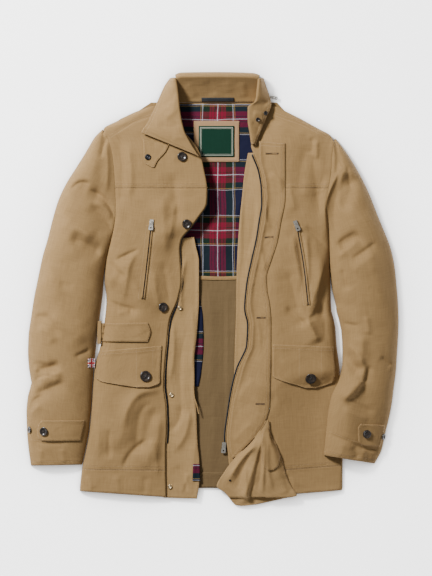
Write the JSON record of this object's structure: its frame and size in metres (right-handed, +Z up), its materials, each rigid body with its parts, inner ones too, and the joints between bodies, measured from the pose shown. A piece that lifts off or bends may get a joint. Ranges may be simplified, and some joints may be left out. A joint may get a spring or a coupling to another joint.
{
  "type": "field jacket",
  "caption": "Field jacket laid flat, open at the front: collar, storm flap, flap pockets, tartan back lining and tabbed cuffs.",
  "frame": {"origin": "middle of the jacket's footprint, on the surface that it lies on", "axes": "+Z up off the surface, +Y from hem to collar, +X towards the wearer's left side"},
  "size_m": [0.744, 0.8684, 0.0437],
  "materials": {
    "shell": "waxed cotton, matte",
    "facing": "waxed cotton, matte",
    "tartan": "woven tartan of navy, green, red, white and yellow",
    "lining": "plain woven",
    "label": "woven",
    "label_mount": "woven",
    "tape": "zip tape and cord",
    "button": "dark marbled, four holes",
    "metal": "polished",
    "flag": "woven tag in red, white and blue"
  },
  "bodies": {
    "jacket": {"back": "shell", "back_lining_lower": "lining", "back_lining_upper": "tartan", "label_mount": "label_mount", "label": "label", "hem_band_right": "shell", "front_right": "shell", "yoke_right": "shell", "hem_band_left": "shell", "front_left": "shell", "yoke_left": "shell", "sleeve_right_top": "shell", "sleeve_right_under": "shell", "sleeve_left_top": "shell", "sleeve_left_top_inner": "shell", "sleeve_left_under": "shell", "facing_right": "facing", "facing_left": "facing", "lining_edge_right": "tartan", "storm_flap": "shell", "turned_corner": "facing", "storm_flap_end": "shell", "pocket_flap_right": "shell", "pocket_flap_left": "shell", "waist_tab_right": "shell", "throat_tab": "shell", "cuff_tab_right": "shell", "cuff_tab_left": "shell", "chest_zip_right": "tape", "chest_zip_left": "tape", "flag_tag": "flag", "collar_right": "shell", "collar_left": "shell", "collar_back": "shell", "hanging_loop": "tape", "main_zip_right": "tape", "main_zip_left": "tape", "pocket_button_right": "button", "pocket_button_left": "button", "front_button_top": "button", "front_button_chest": "button", "front_button_waist": "button", "cuff_button_right": "button", "cuff_button_left": "button", "collar_button_upper": "button", "collar_button_lower": "button", "snap_waist": "metal", "snap_hip": "metal", "snap_hem": "metal", "snap_throat": "metal", "chest_right_slider": "metal", "chest_left_slider": "metal", "main_slider": "metal", "hood_slider": "metal"},
    "chest_right_pull": {"chest_right_pull": "metal"},
    "chest_left_pull": {"chest_left_pull": "metal"},
    "main_pull": {"main_pull": "metal"},
    "hood_pull": {"hood_pull": "metal"}
  },
  "joints": [
    {"name": "chest_right_hinge", "type": "hinge", "parent": "jacket", "child": "chest_right_pull", "pos_m": [-0.12167, 0.13446, 0.03294], "axis": [-0.9814, 0.0981, -0.1651], "range_deg": [0, 150]},
    {"name": "chest_left_hinge", "type": "hinge", "parent": "jacket", "child": "chest_left_pull", "pos_m": [0.16599, 0.13222, 0.03214], "axis": [-0.9285, -0.3714, -0.0021], "range_deg": [0, 150]},
    {"name": "main_hinge", "type": "hinge", "parent": "jacket", "child": "main_pull", "pos_m": [0.023, -0.31068, 0.00915], "axis": [-0.995, 0.0995, 0], "range_deg": [0, 150]},
    {"name": "hood_hinge", "type": "hinge", "parent": "jacket", "child": "hood_pull", "pos_m": [0.119, 0.38422, 0.00705], "axis": [-0.1961, -0.9806, 0], "range_deg": [0, 90]}
  ]
}
